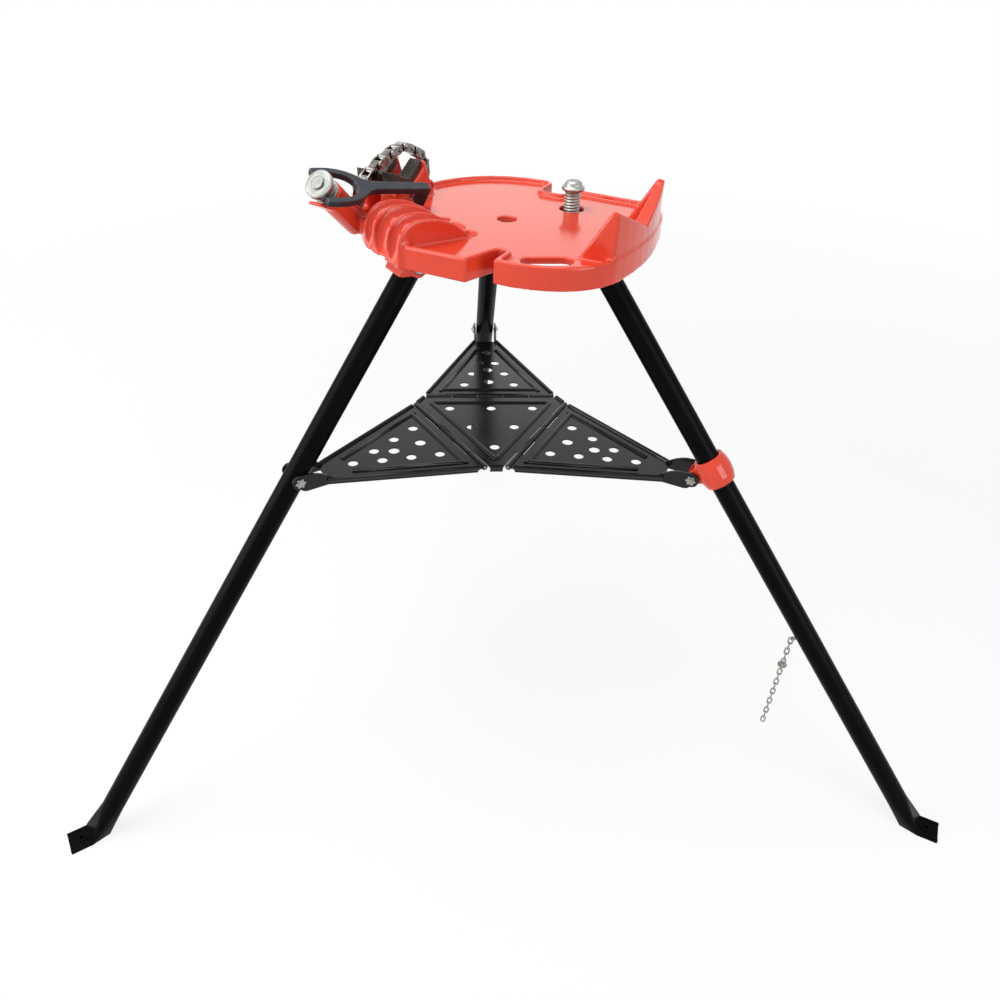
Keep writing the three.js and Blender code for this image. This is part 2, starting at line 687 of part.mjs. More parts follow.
// Ceiling brace screw with its cap
function braceScrew() {
  const end = TABLE_Z + BRACE_RISE;
  const core = BRACE_R - 1.4;
  const profile = [
    [0, end - BRACE_LEN],
    [BRACE_R, end - BRACE_LEN],
  ];
  for (let z = PLATE_Z - 2; z < end - BRACE_PITCH / 2; z += BRACE_PITCH) {
    profile.push([BRACE_R, z], [core, z + BRACE_PITCH / 2]);
  }
  const tip = end + BRACE_NECK_R;
  profile.push([BRACE_R, end], [BRACE_NECK_R, end], [BRACE_NECK_R, tip], [0, tip]);
  return turned(profile, vec(BRACE_X, BRACE_Y, 0), Z, 12);
}
function braceCap() {
  const z = TABLE_Z + BRACE_RISE + GAP;
  const socket = BRACE_NECK_R + GAP;
  const profile = [
    [socket, z],
    [BRACE_CAP_R - 1.5, z],
    [BRACE_CAP_R, z + 1.5],
    [BRACE_CAP_R, z + 4],
    [BRACE_CAP_R - 3.5, z + 6],
    [0.72 * BRACE_CAP_R, z + 10.5],
    [0.44 * BRACE_CAP_R, z + 13],
    [0, z + 14],
    [0, z + socket],
    [socket, z + socket],
    [socket, z],
  ];
  return turned(profile, vec(BRACE_X, BRACE_Y, 0), Z, 16);
}

// Legs: a tube with a pressed, flattened foot
function footHeel(line, bend) {
  const press = line.at(FOOT_PRESS);
  const out = vec(-line.down.z, 0, line.down.x);
  const points = [];
  for (let i = 0; i < SIDES; i += 1) {
    const a = (2 * Math.PI * i) / SIDES;
    const spot = press.clone().addScaledVector(out, TUBE_R * Math.cos(a));
    points.push(spot.setY(TUBE_R * Math.sin(a)));
  }
  for (const side of [-1, 1]) {
    points.push(vec(bend.x - 12, side * 7, TUBE_R / 2));
    points.push(vec(bend.x - 3, side * 13, 0));
    points.push(vec(bend.x + FOOT_FLAT, side * FOOT_HALF, 0));
    points.push(vec(bend.x + FOOT_FLAT, side * FOOT_HALF, FOOT_LIP));
  }
  return solid(new ConvexGeometry(points));
}
function legTube(name) {
  const line = legLine(name);
  const top = line.pivot.clone().addScaledVector(line.down, -LEG_STUB);
  const bend = line.at(TUBE_R);
  const tube = rod(top, line.at(FOOT_PRESS - 1), TUBE_R);
  const mouth = top.clone().addScaledVector(line.down, -2);
  const bore = rod(mouth, line.at(FOOT_PRESS + TUBE_R), TUBE_R - TUBE_WALL, 16);
  const flat = bend.x + FOOT_FLAT - 2;
  const tip = bend.x + FOOT_LEN;
  const pad = box(flat, tip, -FOOT_HALF, FOOT_HALF, 0, FOOT_T);
  const roll = FOOT_LIP / 2;
  const rim = (y) => rod(vec(flat, y, roll), vec(tip, y, roll), roll, 12);
  const rims = [roll - FOOT_HALF, FOOT_HALF - roll].map(rim);
  const nail = (z) => vec(tip - FOOT_HOLE, 0, z);
  const boss = rod(nail(FOOT_T - 1), nail(FOOT_T + 1.4), FOOT_BOSS_R);
  const dimple = rod(nail(FOOT_T / 2), nail(FOOT_T + 5), FOOT_HOLE_R, 12);
  const cross = rod(line.pivot.clone().setY(-60), line.pivot.clone().setY(60), PIVOT_PIN_R + GAP, 16);
  const body = cut(join(tube, footHeel(line, bend), pad, ...rims, boss), bore, cross, dimple);
  return name === 'rear' ? cut(body, stapleStem(GAP)) : body;
}
function pivotPin(name) {
  const { pivot } = legLine(name);
  const half = TUBE_R + PLAY + CHEEK_T;
  const profile = [
    [0, -half - 4],
    [PIVOT_HEAD_R - 2, -half - 4],
    [PIVOT_HEAD_R, -half - 2],
    [PIVOT_HEAD_R, -half - GAP],
    [PIVOT_PIN_R, -half - GAP],
    [PIVOT_PIN_R, half + GAP],
    [PIVOT_HEAD_R, half + GAP],
    [PIVOT_HEAD_R, half + 2],
    [PIVOT_HEAD_R - 2, half + 4],
    [0, half + 4],
  ];
  return turned(profile, pivot, Y, 12);
}

// Tray: a centre plate and three wings on wire hinges
const hingeHalf = (CORNER_R - HINGE_R * Math.cos(Math.PI / 3)) / Math.sin(Math.PI / 3);
const knuckleSpans = (half) => {
  const step = (2 * half) / 5;
  return [0, 1, 2, 3, 4].map((i) => [-half + i * step + PLAY, -half + (i + 1) * step - PLAY]);
};
const sheetMid = -SHEET_T / 2;
// Hinge knuckles on the axis x = 0, tied back to a sheet that ends at x = edge
function knuckles(spans, edge) {
  return spans.flatMap(([from, to]) => [
    rod(vec(0, from, sheetMid), vec(0, to, sheetMid), KNUCKLE_R, 8),
    box(Math.min(0, edge), Math.max(0, edge), from, to, -SHEET_T, 0),
  ]);
}
const wireHole = () => rod(vec(0, -200, sheetMid), vec(0, 200, sheetMid), WIRE_R + GAP, 8);
const sheetEdge = KNUCKLE_R + 1.5;

function trayCentre() {
  const inner = HINGE_R - sheetEdge;
  const reach = (CORNER_R - inner * Math.cos(Math.PI / 3)) / Math.sin(Math.PI / 3);
  const outline = [];
  const rim = [];
  for (const turn of Object.values(AZIMUTH)) {
    const a = THREE.MathUtils.degToRad(turn);
    const spot = (r, t) => [r * Math.cos(a) - t * Math.sin(a), r * Math.sin(a) + t * Math.cos(a)];
    outline.push(spot(inner, -reach), spot(inner, reach));
  }
  let body = prism(polygon(outline), SHEET_T, upright(-SHEET_T));
  const spans = knuckleSpans(hingeHalf);
  for (const turn of Object.values(AZIMUTH)) {
    const matrix = new THREE.Matrix4().makeRotationZ(THREE.MathUtils.degToRad(turn));
    const shift = matrix.clone().multiply(new THREE.Matrix4().makeTranslation(HINGE_R, 0, 0));
    const parts = knuckles([spans[1], spans[3]], -sheetEdge - 1).map((k) => k.transform(shift.elements));
    const rib = box(inner - 20, inner - 15, -reach + 14, reach - 14, -SHEET_T, 2);
    body = join(body, ...parts, rib.transform(matrix.elements));
    rim.push(wireHole().transform(shift.elements));
    const corner = new THREE.Matrix4().makeRotationZ(THREE.MathUtils.degToRad(turn + 60));
    const cornerHalf = (inner - CORNER_R * Math.cos(Math.PI / 3)) / Math.sin(Math.PI / 3);
    const lip = box(CORNER_R - SHEET_T, CORNER_R, -cornerHalf, cornerHalf, -FLANGE_DROP, 0);
    const bead = rod(vec(CORNER_R, -cornerHalf, 0), vec(CORNER_R, cornerHalf, 0), ROLL_R, 8);
    body = join(body, lip.transform(corner.elements), bead.transform(corner.elements));
  }
  const step = 67;
  for (let row = 0; row < 3; row += 1) {
    for (let i = 0; i <= row; i += 1) {
      const x = -((i - row / 2) * step);
      const y = (row - 4 / 3) * step * Math.sin(Math.PI / 3);
      const p = vec(y, x, 0).applyAxisAngle(Z, THREE.MathUtils.degToRad(AZIMUTH.back));
      rim.push(rod(p.clone().setZ(-20), p.clone().setZ(20), HOLE_R, 10));
    }
  }
  return cut(body, ...rim);
}

// A wing lies in x from its hinge axis to the ears that straddle the leg
const wingEnd = WEB_END - HINGE_R;
const pinX = TRAY_PIN_R - HINGE_R;
function trayWing() {
  const root = hingeHalf - 2;
  const tip = EAR_IN + EAR_T;
  const lean = Math.atan((root - tip) / (wingEnd - sheetEdge));
  const outline = polygon([
    [sheetEdge, -root],
    [wingEnd, -tip],
    [wingEnd, tip],
    [sheetEdge, root],
  ]);
  const spans = knuckleSpans(hingeHalf);
  const mine = knuckles([spans[0], spans[2], spans[4]], sheetEdge + 1);
  let body = join(prism(outline, SHEET_T, upright(-SHEET_T)), ...mine);
  const length = (wingEnd - sheetEdge) / Math.cos(lean);
  for (const side of [-1, 1]) {
    const from = vec(sheetEdge, side * root, 0);
    const along = vec(wingEnd - sheetEdge, side * (tip - root), 0);
    const matrix = frame(from, along, Y);
    const y0 = side > 0 ? -SHEET_T : 0;
    const flange = box(4, length, y0, y0 + SHEET_T, -FLANGE_DROP, 0).transform(matrix.elements);
    const bead = rod(vec(2, 0, 0), vec(length, 0, 0), ROLL_R, 8).transform(matrix.elements);
    const ribY = -side * 17;
    const rib = box(16, length - 34, ribY - 2.5, ribY + 2.5, -SHEET_T, 2).transform(matrix.elements);
    body = join(body, flange, bead, rib);
    const ear = new THREE.Shape();
    ear.moveTo(wingEnd - 8, 0);
    ear.lineTo(wingEnd - 8, -FLANGE_DROP);
    ear.lineTo(pinX - EAR_R, -FLANGE_DROP);
    ear.quadraticCurveTo(pinX - 3, -FLANGE_DROP, pinX, TRAY_PIN_RISE - EAR_R);
    ear.absarc(pinX, TRAY_PIN_RISE, EAR_R, -Math.PI / 2, Math.PI / 2);
    ear.lineTo(pinX - EAR_R, TRAY_PIN_RISE + EAR_R - 1);
    ear.quadraticCurveTo(wingEnd + 12, TRAY_PIN_RISE + EAR_R - 1, wingEnd - 6, 3);
    body = body.add(prism(ear, EAR_T, acrossY(side > 0 ? tip : -EAR_IN)));
  }
  const bar = box(sheetEdge + 12, sheetEdge + 17, -root + 24, root - 24, -SHEET_T, 2);
  const through = (x, y, r) => rod(vec(x, y, -20), vec(x, y, 20), r, 10);
  const holes = [];
  const spacing = 40;
  const firstX = 119 - HINGE_R;
  for (let row = 0; row < 4; row += 1) {
    const y = (3 - row) * 14;
    const x = firstX + row * spacing;
    for (const spot of y ? [-y, y] : [0]) holes.push(through(x, spot, HOLE_R));
  }
  for (const x of [firstX + 10, firstX + 54]) holes.push(through(x, 0, HOLE_R + 0.8));
  const pin = rod(vec(pinX, -60, TRAY_PIN_RISE), vec(pinX, 60, TRAY_PIN_RISE), STUD_R + GAP, 12);
  return cut(body.add(bar), ...holes, pin, wireHole());
}
function hingeWire() {
  const half = hingeHalf - PLAY;
  return rod(vec(0, -half, sheetMid), vec(0, half, sheetMid), WIRE_R, 8);
}
// A short stud through one ear with a star lock washer outside it
function trayStud(side) {
  const outside = EAR_IN + EAR_T + GAP;
  const stud = rod(vec(0, side * (TUBE_R + 0.8), 0), vec(0, side * (outside + 4), 0), STUD_R, 12);
  return stud.add(prism(star(6, 8, 5.5), 1.6, acrossY(side > 0 ? outside + 1.6 : -outside)));
}
function collarPin() {
  const outside = EAR_IN + EAR_T + GAP;
  const shaft = rod(vec(0, -outside - 4, 0), vec(0, outside + 4, 0), STUD_R, 12);
  const stars = [outside + 1.6, -outside].map((y) => prism(star(6, 8, 5.5), 1.6, acrossY(y)));
  return join(shaft, ...stars);
}

// Collar round the rear leg, with a lug that the tray pin passes through
function legCollar() {
  const line = legLine('rear');
  const pin = vec(TRAY_PIN_R, 0, pinZ);
  const along = pin.clone().sub(line.pivot).dot(line.down);
  const centre = line.pivot.clone().addScaledVector(line.down, along);
  const bore = TUBE_R + 0.7;
  const middle = (COLLAR_DOWN - COLLAR_UP) / 2;
  const quarter = (COLLAR_DOWN + COLLAR_UP) / 4;
  const profile = [
    [bore, -COLLAR_UP],
    [COLLAR_EDGE_R, -COLLAR_UP],
    [COLLAR_R - 1, middle - quarter],
    [COLLAR_R, middle],
    [COLLAR_R - 1, middle + quarter],
    [COLLAR_EDGE_R, COLLAR_DOWN],
    [bore, COLLAR_DOWN],
    [bore, -COLLAR_UP],
  ];
  const band = turned(profile, centre, line.down);
  const lug = new THREE.Shape();
  lug.absarc(0, 0, 9.5, Math.PI / 2, (3 * Math.PI) / 2);
  const reach = pin.distanceTo(centre) - bore - 1;
  lug.lineTo(reach, -13);
  lug.lineTo(reach, 13);
  const outwards = centre.clone().sub(pin);
  const lugFrame = frame(pin.clone().setY(LUG_HALF), outwards, vec(-outwards.z, 0, outwards.x));
  const hole = rod(vec(pin.x, -60, pin.z), vec(pin.x, 60, pin.z), STUD_R + 0.6, 12);
  const tube = rod(line.at(pinZ + 120), line.at(pinZ - 120), bore);
  return cut(band.add(prism(lug, 2 * LUG_HALF, lugFrame)), hole, tube);
}

// Tie chain: a staple in the leg and a short curb chain with a round tag, hanging from it
const tieSpot = () => {
  const line = legLine('rear');
  const inward = vec(line.down.z, 0, -line.down.x);
  return { line, inward, foot: line.at(TIE_Z).addScaledVector(inward, TUBE_R) };
};
function stapleStem(extra = 0) {
  const { inward, foot } = tieSpot();
  const ends = [-6 - extra, STAPLE_REACH - STAPLE_R];
  const [from, to] = ends.map((d) => foot.clone().addScaledVector(inward, d));
  return rod(from, to, 2 + extra, 8);
}
function tieStaple() {
  const { inward, foot } = tieSpot();
  const ring = new THREE.TorusGeometry(STAPLE_R, STAPLE_WIRE_R, 5, 10);
  ring.applyMatrix4(frame(foot.clone().addScaledVector(inward, STAPLE_REACH), inward, Y));
  return stapleStem().add(solid(ring));
}

// A chain link: a ring stretched along z, its wire round, turned about z
function tieLink(z, turn) {
  const ring = new THREE.TorusGeometry(TIE_RING_R, TIE_WIRE_R, 5, 6).rotateZ(Math.PI / 6);
  const spots = ring.attributes.position;
  const stretch = TIE_LINK / 2 - TIE_RING_R;
  for (let i = 0; i < spots.count; i += 1) {
    const y = spots.getY(i);
    spots.setY(i, y + Math.sign(y) * stretch);
  }
  ring.rotateX(Math.PI / 2).rotateZ(turn);
  return solid(ring.translate(0, 0, z));
}
function tieChain() {
  const step = TIE_LINK - 1.6 * TIE_WIRE_R;
  const top = TIE_RING_R - TIE_LINK / 2;
  const links = [];
  for (let i = 0; i < TIE_LINKS; i += 1) {
    links.push(tieLink(top - i * step, (i % 2) * (Math.PI / 2)));
  }
  const tag = vec(0, 0, top - TIE_TAG_AT * step);
  links.push(rod(tag.clone().setY(-1.2), tag.clone().setY(1.2), TIE_TAG_R, 14));
  return join(...links);
}

// Assembly: the table with its vise
const table = group('table', stand);
piece('vise_table', tableCasting(), enamel(), table);
piece('jaw_near', jaw(1), jawSteel(), table);
piece('jaw_far', jaw(-1), jawSteel(), table);
piece('jaw_pin_near', tenonPin(1), forged(), table);
piece('jaw_pin_far', tenonPin(-1), forged(), table);
piece('chain_hook', hookScrew(), chainSteel(), table);
piece('tension_nut', tensionNut(), zinc(), table);
piece('thrust_washer', thrustWasher(), zinc(), table);
piece('handle', forkedHandle(), forged(), table);
piece('brace_screw', braceScrew(), zinc(), table);
piece('brace_cap', braceCap(), zinc(), table);

// Assembly: the vise chain
const chain = group('chain', table);
chain.position.x = VISE_X;
const anchor = rod(vec(-cheekIn - 9, 0, 0), vec(cheekIn + 9, 0, 0), LINK_PIN_R, 12);
const anchorPin = piece('chain_anchor_pin', anchor, forged(), chain);
anchorPin.position.set(0, CHAIN_START.x, CHAIN_START.y);
chainJoints().slice(0, -1).forEach((spot, i) => {
  const name = `chain_link_${String(i + 1).padStart(2, '0')}`;
  const link = piece(name, chainLink(i % 2 === 1), chainSteel(), chain);
  link.position.set(0, spot.x, spot.y);
  link.rotation.x = THREE.MathUtils.degToRad(LINK_HEADINGS[i]);
});

// Assembly: legs and tray
const tray = group('tray', stand);
tray.position.z = TRAY_Z;
piece('tray_center', trayCentre(), blackPaint(), tray);
for (const name of Object.keys(AZIMUTH)) {
  piece(`leg_${name}`, legTube(name), blackPaint(), legPlane[name]);
  piece(`leg_pin_${name}`, pivotPin(name), zinc(), legPlane[name]);
  const wing = group(`wing_${name}`, legPlane[name]);
  wing.position.set(HINGE_R, 0, TRAY_Z);
  piece(`tray_wing_${name}`, trayWing(), blackPaint(), wing);
  piece(`hinge_wire_${name}`, hingeWire(), zinc(), wing);
  const studs = group(`studs_${name}`, wing);
  studs.position.set(pinX, 0, TRAY_PIN_RISE);
  if (name === 'rear') {
    piece('collar_pin', collarPin(), zinc(), studs);
  } else {
    piece(`tray_stud_${name}_1`, trayStud(1), zinc(), studs);
    piece(`tray_stud_${name}_2`, trayStud(-1), zinc(), studs);
  }
}
piece('collar', legCollar(), enamel(), legPlane.rear);
piece('tie_staple', tieStaple(), zinc(), legPlane.rear);
const hanging = piece('tie_chain', tieChain(), zinc(), legPlane.rear);
hanging.position.copy(tieSpot().foot.addScaledVector(tieSpot().inward, STAPLE_REACH + STAPLE_R));

// The bottom centre of the whole stand is its reference point
const middle = new THREE.Box3().setFromObject(stand).getCenter(new THREE.Vector3());
stand.children.forEach((child) => child.position.sub(vec(middle.x, middle.y, 0)));

export default stand;
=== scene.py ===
import json
import math

import bmesh
import bpy
from mathutils import Matrix, Vector


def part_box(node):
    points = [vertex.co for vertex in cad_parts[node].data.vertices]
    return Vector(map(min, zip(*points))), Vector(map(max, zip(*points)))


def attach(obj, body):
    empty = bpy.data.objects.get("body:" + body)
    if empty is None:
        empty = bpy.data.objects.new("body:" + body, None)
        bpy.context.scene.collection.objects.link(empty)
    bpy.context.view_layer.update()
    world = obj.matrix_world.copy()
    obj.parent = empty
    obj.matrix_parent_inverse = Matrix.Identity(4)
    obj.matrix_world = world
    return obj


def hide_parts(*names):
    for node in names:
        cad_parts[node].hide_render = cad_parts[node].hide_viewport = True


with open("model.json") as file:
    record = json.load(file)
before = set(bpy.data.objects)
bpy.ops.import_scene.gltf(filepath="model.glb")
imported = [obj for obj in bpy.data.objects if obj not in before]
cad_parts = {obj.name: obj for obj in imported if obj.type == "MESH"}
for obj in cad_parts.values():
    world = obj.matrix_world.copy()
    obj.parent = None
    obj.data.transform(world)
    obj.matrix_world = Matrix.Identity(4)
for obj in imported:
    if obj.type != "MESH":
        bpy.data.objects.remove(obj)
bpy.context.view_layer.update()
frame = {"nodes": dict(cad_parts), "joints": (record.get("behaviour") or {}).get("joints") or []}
nodes = frame["nodes"]
scene = bpy.context.scene
scene.view_settings.view_transform = "Standard"

# Camera: a little above the table, in front of it and to its right.
# Its aim and its slight roll are those of the photograph.
EYE = Vector((0.27105, -0.96963, 1.17458))
AIM = Vector((-0.348651, 0.725284, -0.593638))
SIDE = Vector((0.891378, 0.452325, 0.029115))
LIFT = Vector((-0.289634, 0.519004, 0.804205))
FILM_MM = 36
FOCAL_OVER_FILM = 0.793368
camera = bpy.data.objects.new("camera", bpy.data.cameras.new("camera"))
scene.collection.objects.link(camera)
facing = Matrix((SIDE, LIFT, -AIM)).transposed()
camera.matrix_world = Matrix.Translation(EYE) @ facing.to_4x4()
camera.data.sensor_width = FILM_MM
camera.data.lens = FILM_MM * FOCAL_OVER_FILM
camera.data.clip_start = 0.05
scene.camera = camera

# Studio: a wide pale floor in a white room, which the eye and the gloss see at full strength.
# Two soft lamps stand low in front, one hangs over the left, and a low wide one stands behind.
# The floor takes the stand's faint shadow.
ROOM_LIGHT, ROOM_SEEN = 0.14, 1.0
FLOOR_HALF, FLOOR_DROP = 60, 0.0005
FLOOR_GREY, FLOOR_GLOW_SHARE = 0.8, 0.8
GLOW_NEAR, GLOW_FAR = 1.2, 4.0
GLOW_LOW, GLOW_HIGH = 1.04, 1.22
LAMP_AIM = Vector((-0.2, 0, 0.8))
WHITE, WARM = (1, 1, 1), (1, 0.96, 0.87)


def seen(tree):
    """A value of 1 for rays from the camera and from gloss or glass, and 0 for the rest."""
    path = tree.nodes.new("ShaderNodeLightPath")
    rays = path.outputs["Is Camera Ray"]
    for kind in ("Is Glossy Ray", "Is Transmission Ray"):
        either = tree.nodes.new("ShaderNodeMath")
        either.operation = "MAXIMUM"
        tree.links.new(rays, either.inputs[0])
        tree.links.new(path.outputs[kind], either.inputs[1])
        rays = either.outputs[0]
    return rays


world = bpy.data.worlds.new("white_room")
scene.world = world
world.use_nodes = True
room = world.node_tree.nodes
room_links = world.node_tree.links
background = room["Background"]
background.inputs["Color"].default_value = (1, 1, 1, 1)
level = room.new("ShaderNodeMapRange")
level.inputs["To Min"].default_value = ROOM_LIGHT
level.inputs["To Max"].default_value = ROOM_SEEN
room_links.new(seen(world.node_tree), level.inputs["Value"])
room_links.new(level.outputs["Result"], background.inputs["Strength"])

floor_mesh = bpy.data.meshes.new("floor")
floor_corners = [(x * FLOOR_HALF, y * FLOOR_HALF, 0) for x, y in ((-1, -1), (1, -1), (1, 1), (-1, 1))]
floor_mesh.from_pydata(floor_corners, [], [(0, 1, 2, 3)])
floor = bpy.data.objects.new("floor", floor_mesh)
floor.location.z = -FLOOR_DROP
scene.collection.objects.link(floor)
floor_paint = bpy.data.materials.new("floor_white")
floor_paint.use_nodes = True
floor_nodes = floor_paint.node_tree.nodes
floor_links = floor_paint.node_tree.links
matt = floor_nodes["Principled BSDF"]
matt.inputs["Base Color"].default_value = (FLOOR_GREY, FLOOR_GREY, FLOOR_GREY, 1)
matt.inputs["Roughness"].default_value = 0.8
matt.inputs["Specular IOR Level"].default_value = 0.1
white = floor_nodes.new("ShaderNodeEmission")
floor_spot = floor_nodes.new("ShaderNodeTexCoord")
away = floor_nodes.new("ShaderNodeVectorMath")
away.operation = "LENGTH"
floor_links.new(floor_spot.outputs["Object"], away.inputs[0])
glow = floor_nodes.new("ShaderNodeMapRange")
glow.inputs["From Min"].default_value = GLOW_NEAR
glow.inputs["From Max"].default_value = GLOW_FAR
glow.inputs["To Min"].default_value = GLOW_LOW
glow.inputs["To Max"].default_value = GLOW_HIGH
floor_links.new(away.outputs["Value"], glow.inputs["Value"])
floor_links.new(glow.outputs["Result"], white.inputs["Strength"])
share = floor_nodes.new("ShaderNodeMath")
share.operation = "MULTIPLY"
share.inputs[1].default_value = FLOOR_GLOW_SHARE
floor_links.new(seen(floor_paint.node_tree), share.inputs[0])
floor_mix = floor_nodes.new("ShaderNodeMixShader")
floor_links.new(share.outputs[0], floor_mix.inputs[0])
floor_links.new(matt.outputs[0], floor_mix.inputs[1])
floor_links.new(white.outputs[0], floor_mix.inputs[2])
floor_links.new(floor_mix.outputs[0], floor_nodes["Material Output"].inputs["Surface"])
floor_mesh.materials.append(floor_paint)

for name, place, width, height, power, tint in (
    ("key_light", (-1.9, -1.7, 1.3), 1.8, 1.8, 46, WHITE),
    ("fill_light", (2.3, -1.0, 1.2), 1.6, 1.6, 36, WHITE),
    ("top_light", (-0.7, -0.2, 2.8), 2.0, 2.0, 50, WHITE),
    ("back_light", (-1.33, 2.24, 1.5), 3.0, 0.8, 4.3, WARM),
):
    lamp = bpy.data.objects.new(name, bpy.data.lights.new(name, "AREA"))
    lamp.data.shape = "RECTANGLE"
    lamp.data.size = width
    lamp.data.size_y = height
    lamp.data.energy = power
    lamp.data.color = tint
    lamp.location = place
    toward = LAMP_AIM - lamp.location
    lamp.rotation_euler = toward.to_track_quat("-Z", "Y").to_euler()
    scene.collection.objects.link(lamp)

# Table: one iron casting with its rim, pipe rest, benders and vise bed, sprayed with red enamel.
# Its edges are rounded by the mould, and a paler colour is painted along them as a painted highlight.
NOISE_ROUGHNESS = 0.55
EDGE_MASK_RADIUS = 0.0012
EDGE_MASK_START, EDGE_MASK_FULL = 0.995, 0.86
EDGE_MASK_BREAK_LOW, EDGE_MASK_BREAK_HIGH = 0.42, 0.62
PATCH_LOW, PATCH_HIGH = 0.3, 0.7
GRAIN_DEPTH = 0.0006


def grain_group():
    """A node group with a fine grain and larger soft patches over the surface."""
    group = bpy.data.node_groups.new("surface_grain", "ShaderNodeTree")
    face = group.interface
    face.new_socket("Scale", in_out="INPUT", socket_type="NodeSocketFloat").default_value = 200
    face.new_socket("Patch Scale", in_out="INPUT", socket_type="NodeSocketFloat").default_value = 20
    face.new_socket("Grain", in_out="OUTPUT", socket_type="NodeSocketFloat")
    face.new_socket("Patches", in_out="OUTPUT", socket_type="NodeSocketFloat")
    add, join = group.nodes.new, group.links.new
    into, out = add("NodeGroupInput"), add("NodeGroupOutput")
    spot = add("ShaderNodeTexCoord")
    for source, target, detail in (("Scale", "Grain", 3), ("Patch Scale", "Patches", 5)):
        noise = add("ShaderNodeTexNoise")
        noise.inputs["Detail"].default_value = detail
        noise.inputs["Roughness"].default_value = NOISE_ROUGHNESS
        join(spot.outputs["Object"], noise.inputs["Vector"])
        join(into.outputs[source], noise.inputs["Scale"])
        join(noise.outputs["Fac"], out.inputs[target])
    return group


def edge_group():
    """A node group that masks the edges in broken stretches, for edge wear and for the red enamel's
    painted highlight.
    """
    group = bpy.data.node_groups.new("edge_wear_and_sheen", "ShaderNodeTree")
    face = group.interface
    face.new_socket("Amount", in_out="INPUT", socket_type="NodeSocketFloat").default_value = 1
    face.new_socket("Break Up", in_out="INPUT", socket_type="NodeSocketFloat").default_value = 90
    face.new_socket("Mask", in_out="OUTPUT", socket_type="NodeSocketFloat")
    add, join = group.nodes.new, group.links.new
    into, out = add("NodeGroupInput"), add("NodeGroupOutput")
    bevel = add("ShaderNodeBevel")
    bevel.samples = 4
    bevel.inputs["Radius"].default_value = EDGE_MASK_RADIUS
    shape = add("ShaderNodeNewGeometry")
    dot = add("ShaderNodeVectorMath")
    dot.operation = "DOT_PRODUCT"
    join(bevel.outputs["Normal"], dot.inputs[0])
    join(shape.outputs["Normal"], dot.inputs[1])
    edge = add("ShaderNodeMapRange")
    edge.inputs["From Min"].default_value = EDGE_MASK_START
    edge.inputs["From Max"].default_value = EDGE_MASK_FULL
    join(dot.outputs["Value"], edge.inputs["Value"])
    spot = add("ShaderNodeTexCoord")
    noise = add("ShaderNodeTexNoise")
    noise.inputs["Detail"].default_value = 4
    join(spot.outputs["Object"], noise.inputs["Vector"])
    join(into.outputs["Break Up"], noise.inputs["Scale"])
    patch = add("ShaderNodeMapRange")
    patch.inputs["From Min"].default_value = EDGE_MASK_BREAK_LOW
    patch.inputs["From Max"].default_value = EDGE_MASK_BREAK_HIGH
    join(noise.outputs["Fac"], patch.inputs["Value"])
    both = add("ShaderNodeMath")
    both.operation = "MULTIPLY"
    join(edge.outputs["Result"], both.inputs[0])
    join(patch.outputs["Result"], both.inputs[1])
    amount = add("ShaderNodeMath")
    amount.operation = "MULTIPLY"
    amount.use_clamp = True
    join(both.outputs[0], amount.inputs[0])
    join(into.outputs["Amount"], amount.inputs[1])
    join(amount.outputs[0], out.inputs["Mask"])
    return group


surface_grain = grain_group()
edge_wear_and_sheen = edge_group()


def finish(name, light, dark, edge_wear_and_sheen_colour, rough, metallic, grain, patch, bump, edge_wear_and_sheen_amount, specular=0.5):
    """A finish: two colours in soft patches, an edge colour that is wear on most finishes and a
    painted highlight on the red enamel, and a fine grain.
    """
    material = bpy.data.materials.new(name)
    material.use_nodes = True
    add, join = material.node_tree.nodes.new, material.node_tree.links.new
    shader = material.node_tree.nodes["Principled BSDF"]
    shader.inputs["Metallic"].default_value = metallic
    shader.inputs["Specular IOR Level"].default_value = specular
    surface = add("ShaderNodeGroup")
    surface.node_tree = surface_grain
    surface.inputs["Scale"].default_value = grain
    surface.inputs["Patch Scale"].default_value = patch
    edges = add("ShaderNodeGroup")
    edges.node_tree = edge_wear_and_sheen
    edges.inputs["Amount"].default_value = edge_wear_and_sheen_amount
    tone = add("ShaderNodeMapRange")
    tone.inputs["From Min"].default_value = PATCH_LOW
    tone.inputs["From Max"].default_value = PATCH_HIGH
    join(surface.outputs["Patches"], tone.inputs["Value"])
    body = add("ShaderNodeMix")
    body.data_type = "RGBA"
    body.inputs["A"].default_value = (*dark, 1)
    body.inputs["B"].default_value = (*light, 1)
    join(tone.outputs["Result"], body.inputs["Factor"])
    wear_and_sheen_mix = add("ShaderNodeMix")
    wear_and_sheen_mix.data_type = "RGBA"
    wear_and_sheen_mix.inputs["B"].default_value = (*edge_wear_and_sheen_colour, 1)
    join(body.outputs["Result"], wear_and_sheen_mix.inputs["A"])
    join(edges.outputs["Mask"], wear_and_sheen_mix.inputs["Factor"])
    join(wear_and_sheen_mix.outputs["Result"], shader.inputs["Base Color"])
    gloss = add("ShaderNodeMapRange")
    gloss.inputs["From Min"].default_value = PATCH_LOW
    gloss.inputs["From Max"].default_value = PATCH_HIGH
    gloss.inputs["To Min"].default_value = rough[0]
    gloss.inputs["To Max"].default_value = rough[1]
    join(surface.outputs["Patches"], gloss.inputs["Value"])
    join(gloss.outputs["Result"], shader.inputs["Roughness"])
    relief = add("ShaderNodeBump")
    relief.inputs["Strength"].default_value = bump
    relief.inputs["Distance"].default_value = GRAIN_DEPTH
    join(surface.outputs["Grain"], relief.inputs["Height"])
    join(relief.outputs["Normal"], shader.inputs["Normal"])
    return material


